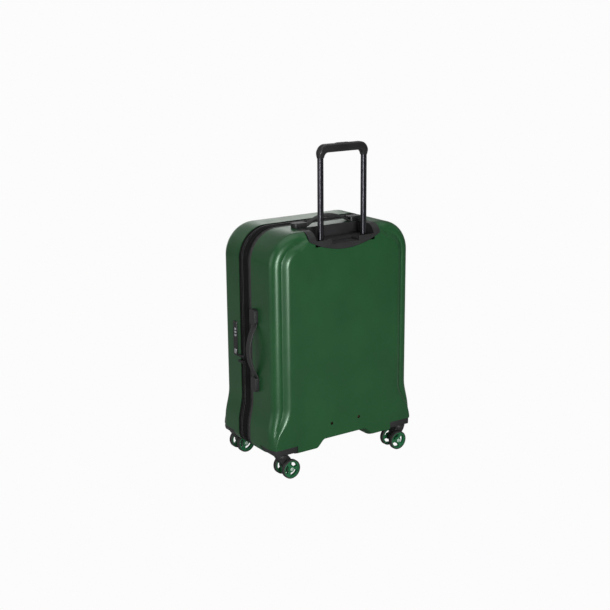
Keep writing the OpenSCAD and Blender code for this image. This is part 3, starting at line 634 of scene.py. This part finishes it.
def teeth_row(name, body, y, side, phase, hinge_gap):
    """One half of a zip: a row of teeth round the case, on the side of the zip's line that side gives."""
    bm = bmesh.new()
    for k in range(int(RUN[-1] / PITCH)):
        (x, z), (nx, nz) = on_outline((k + phase) * PITCH)
        if hinge_gap and x < -0.2 and HIP_TOP < z < TOP - CORNER_R:
            continue
        turn = Matrix(((-nz, 0, nx), (0, 1, 0), (nx, 0, nz)))
        place = (x - nx * 1.7 * MM, y + side * 1.0 * MM, z - nz * 1.7 * MM)
        box_into(bm, place, TOOTH, turn)
    return finish_piece(bm, name, body, teeth_black)


expansion_y = (TRIM_FRONT + band_high.y) / 2
main_y = (band_low.y + tape_high.y) / 2
teeth_row("zip_teeth_expansion_back", "case_back", expansion_y, 1, 0.0, False)
teeth_row("zip_teeth_expansion_front", "expansion_frame", expansion_y, -1, 0.5, False)
teeth_row("zip_teeth_main_band", "expansion_frame", main_y, 1, 0.0, True)
teeth_row("zip_teeth_main_lid", "lid", main_y, -1, 0.5, True)


def soft_piece(bm, name, body, material, thick, replaces=(), sharp=70):
    """A sheet of cloth with a little thickness."""
    area = sum(f.calc_area() for f in bm.faces)
    piece = finish_piece(bm, name, body, material, sharp=sharp, replaces=replaces)
    wall = piece.modifiers.new("cloth", "SOLIDIFY")
    wall.thickness, wall.offset = thick, 0
    bpy.context.view_layer.update()
    settle(piece)
    return piece


# Folded gusset that joins the back shell's edge to the band and opens with the expansion zip
gusset = bmesh.new()
folds = 14
gusset_start, gusset_end = 7.6 * MM, -3.2 * MM
gusset_deep = gusset_end - gusset_start
loft(gusset, [outline_ring(gusset_start + gusset_deep * k / folds, (6.8 + 1.0 * (-1) ** k) * MM)
              for k in range(folds + 1)], cap=False,
     run=lambda k, i: (RUN[i], k * 2.6 * MM, 0))
gusset = soft_piece(gusset, "expansion_gusset_folded", None, narrow_tape, 0.4 * MM,
                    replaces=["expansion_gusset"])
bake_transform(gusset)

# Cloth hinge on the side away from the lock
hinge = bmesh.new()
hinge_x = -(SIDE_X - 1.0 * MM)
rows = []
for k in range(17):
    y = (-21.5 - 17 * k / 16) * MM
    lift = 0.9 * MM * sin(pi * k / 16)
    rows.append([(hinge_x - lift, y, HIP_TOP + 6 * MM + (TOP - CORNER_R - HIP_TOP - 12 * MM) * j / 40)
                 for j in range(41)])
current = [hinge.verts.new(p) for p in rows[0]]
edge_row = [hinge.edges.new(pair) for pair in zip(current, current[1:])]
for row in rows[1:]:
    made = bmesh.ops.extrude_edge_only(hinge, edges=edge_row)["geom"]
    new = {v.co.to_tuple(7): v for v in made if isinstance(v, bmesh.types.BMVert)}
    current = [new[v.co.to_tuple(7)] for v in current]
    for v, p in zip(current, row):
        v.co = p
    edge_row = [hinge.edges.get(pair) for pair in zip(current, current[1:])]
hinge_cloth = soft_piece(hinge, "hinge_cloth", None, webbing, 0.6 * MM)
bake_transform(hinge_cloth)

# ---- linings --------------------------------------------------------------------------------


def lining(name, node, rim, end, rim_top, end_top, low, half, body_name, seed):
    """Cloth tray from the rim to the shell's face, with a flange at the rim and soft folds."""
    bm = bmesh.new()
    lean = 1 if end > rim else -1
    stations = [(0, 5.0, True), (0.012, 8.5, False)] + [(t / 10, 0, False) for t in range(1, 11)]
    rings = []
    for s, (t, d, flange) in enumerate(stations):
        y = rim + (end - rim) * t
        top = rim_top + (end_top - rim_top) * ease(min(1, t * 2))
        ring = []
        for i in range(N):
            x, z = inset(i, (d or 12.6) * MM)
            if not flange and s > 1:
                x = max(-half, min(half, x))
                z = max(low, min(top, z))
                soft = noise.noise(Vector((x * 14 + seed, y * 26, z * 14)))
                soft *= 2.2 * MM * sin(pi * min(t, 0.96))
                x -= NORMAL[i][0] * (abs(soft) + 0.3 * MM)
                z -= NORMAL[i][1] * (abs(soft) + 0.3 * MM)
            ring.append((x, y, z + i * 1e-6))
        rings.append(ring)
    middle = Vector((0, 0, (low + end_top) / 2))
    for k, shrink in enumerate((0.985, 0.95, 0.8, 0.55, 0.3, 0.1)):
        ring = []
        for x, y, z in rings[len(stations) - 1]:
            px, pz = x * shrink, middle.z + (z - middle.z) * shrink
            wave = noise.noise(Vector((px * 11, seed, pz * 11))) * 1.6 * MM
            ring.append((px, end - lean * (abs(wave) * (shrink < 0.97) - (0.4 * MM if k else 0)), pz))
        rings.append(ring)
    loft(bm, rings)
    return soft_piece(bm, name, body_name, lining_cloth, 0.8 * MM,
                      replaces=[node])


bl_low, bl_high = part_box("back_lining")
fl_low, fl_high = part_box("front_lining")
lining("back_lining_cloth", "back_lining", bl_low.y, bl_high.y - 1.2 * MM, 654 * MM, bl_high.z - 0.6 * MM,
       bl_low.z + 0.6 * MM, bl_high.x - 0.6 * MM, "case_back", 3.1)
lining("front_lining_cloth", "front_lining", fl_high.y, fl_low.y + 1.2 * MM, fl_high.z - 0.6 * MM,
       fl_high.z - 0.6 * MM, fl_low.z + 0.6 * MM, fl_high.x - 0.6 * MM, "lid", 7.7)

# Crossed packing straps with a side-release buckle
straps_low, straps_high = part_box("packing_straps")
bm = bmesh.new()
middle_z = (straps_low.z + straps_high.z) / 2
reach = (straps_high.x - straps_low.x) * 0.485
for s, off in ((-1, 0.9), (1, 2.6)):
    turn = Matrix.Rotation(s * pi / 4, 3, "Y")
    box_into(bm, (0, straps_high.y - off * MM, middle_z), (reach * 1.36 * 2, 1.2 * MM, 25 * MM), turn)
round_edges(bm, bm.edges[:], 0.4, 2)
finish_piece(bm, "packing_straps_webbing", "case_back", webbing, replaces=["packing_straps"])
bm = bmesh.new()
for part, (w, h, x) in enumerate(((26, 30, -12), (24, 26, 16), (10, 34, 0))):
    box_into(bm, (x * MM, straps_high.y - 5.6 * MM, middle_z), (w * MM, (5.4 - part) * MM, h * MM))
round_edges(bm, bm.edges[:], 1.3, 3)
finish_piece(bm, "packing_strap_buckle", "case_back", abs_black)

# Zipped pocket on the lid's lining, lying slack
pocket_low, pocket_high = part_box("lid_pocket")
bm = bmesh.new()
bmesh.ops.create_grid(bm, x_segments=44, y_segments=34, size=0.5)
pw, ph = pocket_high.x - pocket_low.x - 4 * MM, pocket_high.z - pocket_low.z - 4 * MM
for v in bm.verts:
    u, w = v.co.x * 2, v.co.y * 2
    crown = (1 - u ** 4) * (1 - w ** 4)
    fold = noise.noise(Vector((u * 2.1, w * 2.6, 4.2))) * crown
    v.co = (v.co.x * pw, pocket_high.y - 1.6 * MM + 1.4 * MM * crown + 1.6 * MM * fold,
            (pocket_low.z + pocket_high.z) / 2 + v.co.y * ph)
soft_piece(bm, "lid_pocket_cloth", "lid", lining_cloth, 0.6 * MM,
           replaces=["lid_pocket"])

# ---- handle well and trolley ----------------------------------------------------------------

refined("handle_well", abs_black, width=0)

TUBE_X, TUBE_Y = 70.7 * MM, (tubes_low.y + tubes_high.y) / 2


def tube_profile(w, d, groove):
    """Rounded tube section with a shallow groove along each broad side."""
    grooved = []
    for k, (x, y) in enumerate(rounded_points(0, 0, w, d, d / 2.6, 6)):
        grooved.append((x, y))
        if k in (6, 20):
            s = 1 if k == 6 else -1
            for gx, gy in ((2.6, 0), (1.9, groove), (0, groove), (-1.9, groove), (-2.6, 0)):
                grooved.append((s * gx * MM, s * (d / 2 - gy)))
    return grooved


bm = bmesh.new()
for sx in (-1, 1):
    outer = tube_profile(tubes_high.x - TUBE_X + 8 * MM, tubes_high.y - tubes_low.y, 0.7 * MM)
    ring = lambda z: [(sx * TUBE_X + x, TUBE_Y + y, z) for x, y in outer]
    prism(ring(tubes_low.z), ring(tubes_high.z), bm)
finish_piece(bm, "inner_tubes_grooved", "trolley_handle", tube_metal, sharp=30,
             replaces=["rail_inner_tubes"])

GRIP_W = grip_high.x - grip_low.x
inner_x = TUBE_X - 9.6 * MM
inner_r = 11 * MM
high_z = grip_low.z + 14 * MM
outline_grip = [(GRIP_W / 2 - 2.6 * MM, grip_low.z), (GRIP_W / 2 - 1.8 * MM, grip_low.z + 6 * MM)]
for t in range(17):
    a = pi / 2 * t / 16
    outline_grip.append((GRIP_W / 2 - 1.6 * MM - 25 * MM * (1 - cos(a)), grip_high.z - 27 * MM * (1 - sin(a))))
outline_grip += [(-x, z) for x, z in reversed(outline_grip)]
outline_grip += [(-inner_x - 0.8 * MM, grip_low.z)]
outline_grip += [(-inner_x + inner_r * (1 - cos(pi * t / 16)), high_z - inner_r * (1 - sin(pi * t / 16)))
                 for t in range(9)]
outline_grip += [(inner_x - inner_r * (1 - sin(pi * t / 16)), high_z - inner_r * (1 - cos(pi * t / 16)))
                 for t in range(9)] + [(inner_x + 0.8 * MM, grip_low.z)]
bm = slab(outline_grip, grip_low.y, grip_high.y)
bm.normal_update()
keen = [e for e in bm.edges if len(e.link_faces) == 2 and e.calc_face_angle(0) > radians(50)
        and max(v.co.z for v in e.verts) > grip_low.z + 1 * MM]
round_edges(bm, keen, 5.2, 6)
for v in bm.verts:  # the ends narrow towards the tubes
    full = ease((v.co.z - grip_low.z) / (16 * MM))
    v.co.y = TUBE_Y + (v.co.y - TUBE_Y) * (0.64 + 0.36 * full)
finish_piece(bm, "grip_soft", "trolley_handle", abs_grip, sharp=50, replaces=["grip"])

button_low, button_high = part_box("grip_button")
ring = lambda z, s: [(x, y, z) for x, y in rounded_points(
    0, TUBE_Y, (button_high.x - button_low.x) * s, (button_high.y - button_low.y) * s, 4.7 * MM * s)]
bm = bmesh.new()
top_z = button_high.z
first, last = loft(bm, [ring(button_low.z, 1), ring(top_z - 0.7 * MM, 1), ring(top_z - 0.2 * MM, 0.985),
                        ring(top_z, 0.94), ring(top_z - 0.25 * MM, 0.8)])
bmesh.ops.edgeloop_fill(bm, edges=first)
finish_piece(bm, "grip_button_soft", "grip_button", abs_black, replaces=["grip_button"])

for node, material in (("rail_outer_tubes", tube_metal), ("rail_mid_tubes", tube_metal), ("rail_foot", abs_black),
                       ("release_rods", steel), ("back_swivel_pins", steel), ("front_swivel_pins", steel)):
    frame["nodes"][node].data.materials.clear()
    frame["nodes"][node].data.materials.append(material)
refined("rail_rivets", bronze, width=0.4)

# ---- carry handles --------------------------------------------------------------------------

for node in ("top_handle_mounts", "side_handle_mounts"):
    refined(node, abs_black, width=1.0, segments=3)


def carry_strap(name, node, span, to_place):
    """Soft strap that rises from its mounts, with cross ribs on its middle. to_place puts (along, across, up)
    in the row frame."""
    reach, tip, low, crest, thick, tongue, wide = (v * MM for v in (
        span / 2 - 25, span / 2 + 10, 1.5, 28, 8, 3, 21))
    bm = bmesh.new()
    stations = [-tip / reach, -1.12, -1.02] + [-1 + k / 60 for k in range(121)] + [1.02, 1.12, tip / reach]
    rings = []
    for t in stations:
        rise = cos(pi / 2 * max(-1, min(1, t))) ** 0.8 if abs(t) < 1 else 0
        under = low + (crest - thick - low) * rise
        over = low + tongue + (crest - tongue - low) * rise
        ribs = 0.35 * MM * (0.5 + 0.5 * cos(2 * pi * t * reach / (4.2 * MM))) * (1 - ease((abs(t) - 0.5) * 8))
        waist = wide * (1 - 0.07 * rise)
        h = over - under
        section = rounded_points(0, (under + over) / 2 - ribs / 2, waist, h - ribs, min(h * 0.42, 2.6 * MM), 4)
        rings.append([to_place(t * reach, u, v) for u, v in section])
    first, last = loft(bm, rings)
    bmesh.ops.edgeloop_fill(bm, edges=first)
    return finish_piece(bm, name, frame["nodes"][node]["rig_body"], soft_rubber, sharp=60,
                        replaces=[node])


top_strap_low, top_strap_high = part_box("top_handle")
side_strap_low, side_strap_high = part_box("side_handle")
top_y = (top_strap_low.y + top_strap_high.y) / 2
side_y, side_z = (side_strap_low.y + side_strap_high.y) / 2, (side_strap_low.z + side_strap_high.z) / 2
carry_strap("top_handle_ribbed", "top_handle", 184, lambda a, u, v: (a, top_y + u, TOP + v))
carry_strap("side_handle_ribbed", "side_handle", 190, lambda a, u, v: (SIDE_X + v, side_y + u, side_z - a))

# ---- lock and zip sliders -------------------------------------------------------------------

refined("lock_body", abs_black, width=0.5)
refined("lock_release", silver, width=0.5)
for k in (1, 2, 3):
    dial_low, dial_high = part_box(f"lock_dial_{k}")
    middle = (dial_low + dial_high) / 2
    r = (dial_high.x - dial_low.x) / 2
    ring = lambda z, s: [(middle.x + r * s * (1 - 0.035 * (i % 4 < 2)) * cos(2 * pi * i / 48),
                          middle.y + r * s * (1 - 0.035 * (i % 4 < 2)) * sin(2 * pi * i / 48), z)
                         for i in range(48)]
    bm = bmesh.new()
    first, last = loft(bm, [ring(dial_low.z, 0.93), ring(dial_low.z + 0.5 * MM, 1), ring(dial_high.z - 0.5 * MM, 1),
                            ring(dial_high.z, 0.93)])
    bmesh.ops.edgeloop_fill(bm, edges=first)
    finish_piece(bm, f"lock_dial_{k}_ribbed", f"lock_dial_{k}", dial_grey, sharp=25,
                 replaces=[f"lock_dial_{k}"])
for place in ("upper", "lower"):
    refined("zip_slider_" + place, zinc_black, width=0.5)

# ---- casters --------------------------------------------------------------------------------

for corner in ("back_left", "back_right", "front_left", "front_right"):
    refined("wheel_housing_" + corner, abs_black, width=1.0, segments=3)
    refined("fork_" + corner, abs_black, width=1.0, segments=3)
    frame["nodes"]["axle_" + corner].data.materials.clear()
    frame["nodes"]["axle_" + corner].data.materials.append(steel)
    for side in ("inner", "outer"):
        wheel_low, wheel_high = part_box(f"wheel_{corner}_{side}")
        hub = (wheel_low + wheel_high) / 2
        away = (1 if side == "outer" else -1) * (1 if corner.startswith("back") else -1)
        face = wheel_high.y if away > 0 else wheel_low.y

        def hub_cap(bm):
            """Shallow dome over the axle's end."""
            known = set(bm.faces)
            dome = [[(hub.x + r * MM * cos(2 * pi * i / 24), face - away * (1.3 - h) * MM,
                      hub.z + r * MM * sin(2 * pi * i / 24)) for i in range(24)]
                    for r, h in ((5.6, 0), (5.6, 1.1), (5.0, 1.5), (3.4, 1.8), (1.4, 1.9))]
            first, last = loft(bm, dome)
            bmesh.ops.edgeloop_fill(bm, edges=first)
            for f in bm.faces:
                if f not in known:
                    f.material_index = 1

        refined(f"wheel_{corner}_{side}", [wheel_green, cap_grey], width=0.4, extra=hub_cap)
        refined(f"tyre_{corner}_{side}", tyre_black, width=0)

# ---- light, floor ---------------------------------------------------------------------------

floor_mesh = bmesh.new()
bmesh.ops.create_grid(floor_mesh, x_segments=1, y_segments=1, size=40)
for v in floor_mesh.verts:
    v.co.z = -0.4 * MM
mesh = bpy.data.meshes.new("floor")
floor_mesh.to_mesh(mesh)
floor_mesh.free()
floor = bpy.data.objects.new("floor", mesh)
scene.collection.objects.link(floor)
paper = bpy.data.materials.new("paper_white")
paper.use_nodes = True
ground = paper.node_tree
matt = ground.nodes["Principled BSDF"]
matt.inputs["Base Color"].default_value = (0.42, 0.42, 0.42, 1)
matt.inputs["Roughness"].default_value = 0.9
matt.inputs["Specular IOR Level"].default_value = 0.0
glow = put(ground, "Emission", {"Color": (1, 1, 1, 1), "Strength": 0.972}).outputs[0]
seen = put(ground, "LightPath").outputs["Is Camera Ray"]
both = ground.nodes.new("ShaderNodeMixShader")
ground.links.new(seen, both.inputs[0])
ground.links.new(matt.outputs[0], both.inputs[1])
ground.links.new(glow, both.inputs[2])
ground.links.new(both.outputs[0], ground.nodes["Material Output"].inputs["Surface"])
floor.data.materials.append(paper)

world = bpy.data.worlds.new("studio")
scene.world = world
world.use_nodes = True
sky = world.node_tree
seen = put(sky, "LightPath").outputs["Is Camera Ray"]
sky.links.new(put(sky, "MapRange", {"Value": seen, "To Min": 0.22, "To Max": 0.972}).outputs[0],
              sky.nodes["Background"].inputs["Strength"])
sky.nodes["Background"].inputs["Color"].default_value = (1, 1, 1, 1)


def softbox(name, place, aim, size, watts):
    light = bpy.data.lights.new(name, "AREA")
    light.shape, light.size, light.size_y, light.energy = "RECTANGLE", size[0], size[1], watts
    lamp = bpy.data.objects.new(name, light)
    lamp.location = place
    lamp.rotation_euler = (Vector(aim) - Vector(place)).to_track_quat("-Z", "Y").to_euler()
    lamp.visible_camera = False
    scene.collection.objects.link(lamp)


softbox("key", (0.95, 2.9, 0.6), (0, 0, 0.42), (0.8, 1.1), 72)
softbox("side", (3.0, -0.6, 1.2), (0, 0, 0.4), (2.4, 2.4), 22)
softbox("behind", (-0.6, -3.0, 1.1), (0, 0, 0.5), (3.0, 1.8), 24)
softbox("above", (0, 0.3, 3.0), (0, 0, 0), (3.4, 3.4), 34)
scene.view_settings.view_transform = "Standard"
